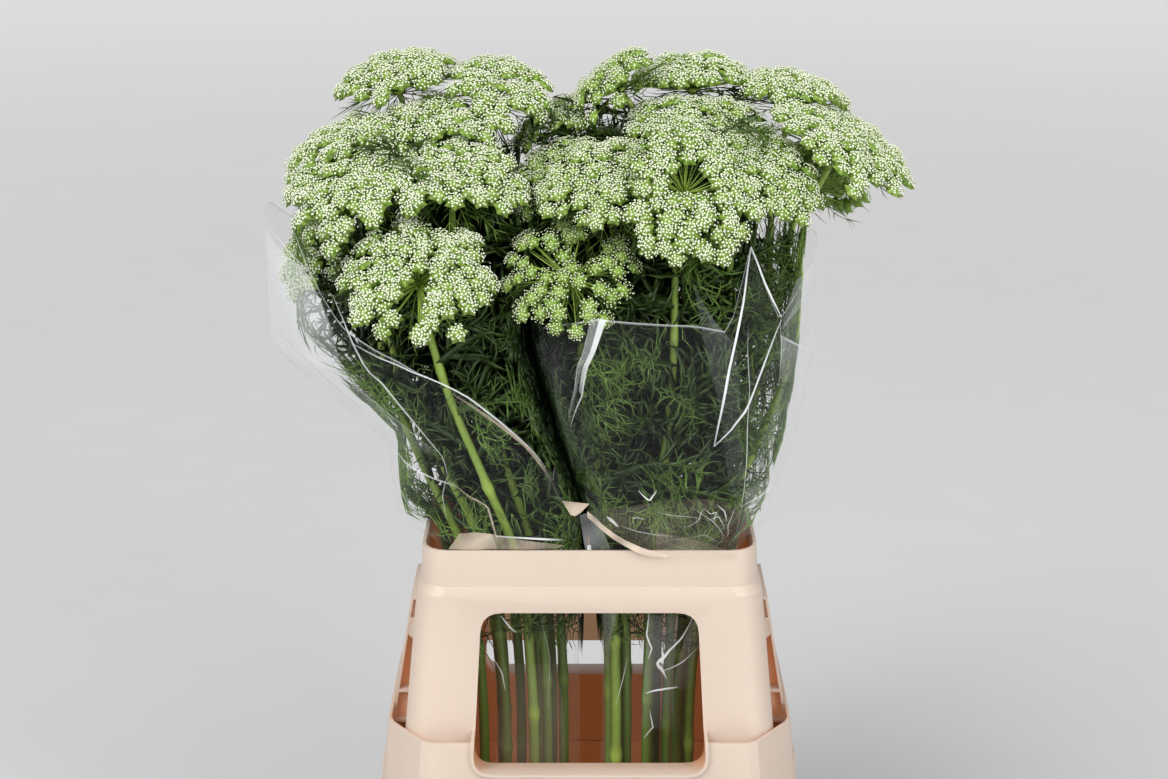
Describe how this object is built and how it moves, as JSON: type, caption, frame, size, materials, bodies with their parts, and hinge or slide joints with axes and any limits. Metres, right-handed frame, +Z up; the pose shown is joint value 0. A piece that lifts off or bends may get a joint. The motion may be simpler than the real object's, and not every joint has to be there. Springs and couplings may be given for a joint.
{
  "type": "cut khella bunches in a flower transport bucket",
  "caption": "Bunches of cut khella in clear film sleeves, standing in water in a plastic flower transport bucket with a tall windowed collar.",
  "frame": {"origin": "middle of the bucket's base, on the floor", "axes": "+Z up; +X along the bucket's long side, to the right seen from the front; the front with the open window faces -Y"},
  "size_m": [0.587, 0.3502, 0.9413],
  "materials": {
    "collar_plastic": "peach-coloured polypropylene, slightly translucent, satin, with scuffs",
    "bucket_plastic": "peach-coloured polypropylene, slightly translucent, satin, with scuffs",
    "water": "clear still water",
    "film": "clear thin glossy film, creased",
    "green": "fresh green stalks, rays and thread-like leaves",
    "floret": "small matt white florets on green"
  },
  "bodies": {
    "root": {"collar": "collar_plastic", "collar_bar": "collar_plastic", "bucket": "bucket_plastic", "water": "water", "sleeve_left": "film", "sleeve_right": "film", "stem_left_01": "green", "umbel_left_01": "floret", "stem_left_02": "green", "umbel_left_02": "floret", "stem_left_03": "green", "umbel_left_03": "floret", "stem_left_04": "green", "umbel_left_04": "floret", "stem_left_05": "green", "umbel_left_05": "floret", "stem_left_06": "green", "umbel_left_06": "floret", "stem_left_07": "green", "umbel_left_07": "floret", "stem_left_08": "green", "umbel_left_08": "floret", "stem_left_09": "green", "umbel_left_09": "floret", "stem_left_10": "green", "umbel_left_10": "floret", "stem_right_11": "green", "umbel_right_11": "floret", "stem_right_12": "green", "umbel_right_12": "floret", "stem_right_13": "green", "umbel_right_13": "floret", "stem_right_14": "green", "umbel_right_14": "floret", "stem_right_15": "green", "umbel_right_15": "floret", "stem_right_16": "green", "umbel_right_16": "floret", "stem_right_17": "green", "umbel_right_17": "floret", "stem_right_18": "green", "umbel_right_18": "floret", "stem_right_19": "green", "umbel_right_19": "floret", "stem_right_20": "green", "umbel_right_20": "floret", "stem_right_21": "green", "umbel_right_21": "floret", "stem_right_22": "green", "umbel_right_22": "floret", "stem_right_23": "green", "umbel_right_23": "floret", "stem_right_24": "green", "umbel_right_24": "floret"}
  },
  "joints": []
}
